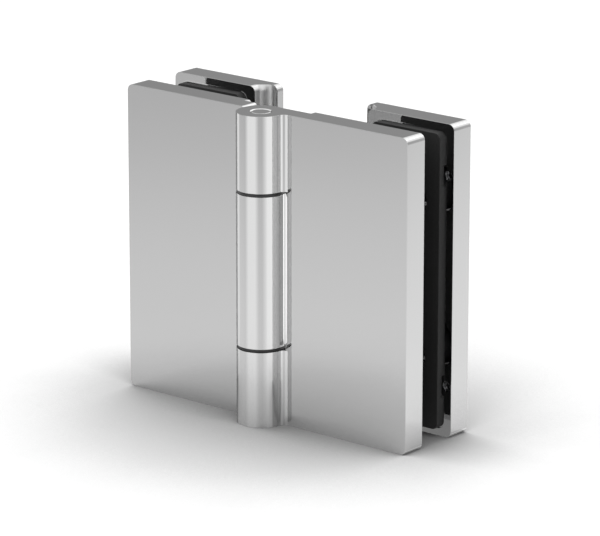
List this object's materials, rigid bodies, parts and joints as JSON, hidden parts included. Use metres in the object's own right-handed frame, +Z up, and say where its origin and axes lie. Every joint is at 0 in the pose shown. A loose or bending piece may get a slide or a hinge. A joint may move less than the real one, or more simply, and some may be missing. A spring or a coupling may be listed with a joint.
{
  "type": "glass door hinge",
  "caption": "Glass-to-glass door hinge: two clamp leaves with rubber pads, joined by a three-knuckle surface barrel and a vertical pin.",
  "frame": {"origin": "on the pin's axis, in the plane of the plates' bottom faces", "axes": "+X along the door leaf, +Y from the front faces to the back, +Z up along the pin, with both leaves in line"},
  "size_m": [0.1088, 0.0386, 0.096],
  "materials": {
    "polished_chrome": "mirror-polished chrome plate",
    "screw_steel": "turned stainless steel",
    "blackened_steel": "blackened alloy steel, satin",
    "black_rubber": "matt moulded rubber",
    "black_nylon": "matt moulded nylon"
  },
  "bodies": {
    "fixed_leaf": {"fixed_front_plate": "polished_chrome", "fixed_rear_plate": "polished_chrome", "fixed_front_pad": "black_rubber", "fixed_rear_pad": "black_rubber", "fixed_clamp_screws": "screw_steel", "fixed_glass_sleeves": "black_nylon", "fixed_front_pad_screws": "blackened_steel", "fixed_rear_pad_screws": "blackened_steel", "lower_bush": "black_nylon", "upper_bush": "black_nylon"},
    "door_leaf": {"door_front_plate": "polished_chrome", "door_rear_plate": "polished_chrome", "door_front_pad": "black_rubber", "door_rear_pad": "black_rubber", "door_clamp_screws": "screw_steel", "door_glass_sleeves": "black_nylon", "door_front_pad_screws": "blackened_steel", "door_rear_pad_screws": "blackened_steel", "hinge_pin": "polished_chrome", "pin_lock_screws": "screw_steel"}
  },
  "joints": [
    {"name": "door_swing", "type": "hinge", "parent": "fixed_leaf", "child": "door_leaf", "pos_m": [0, 0, 0], "axis": [0, 0, -1], "range_deg": [0, 180]}
  ]
}
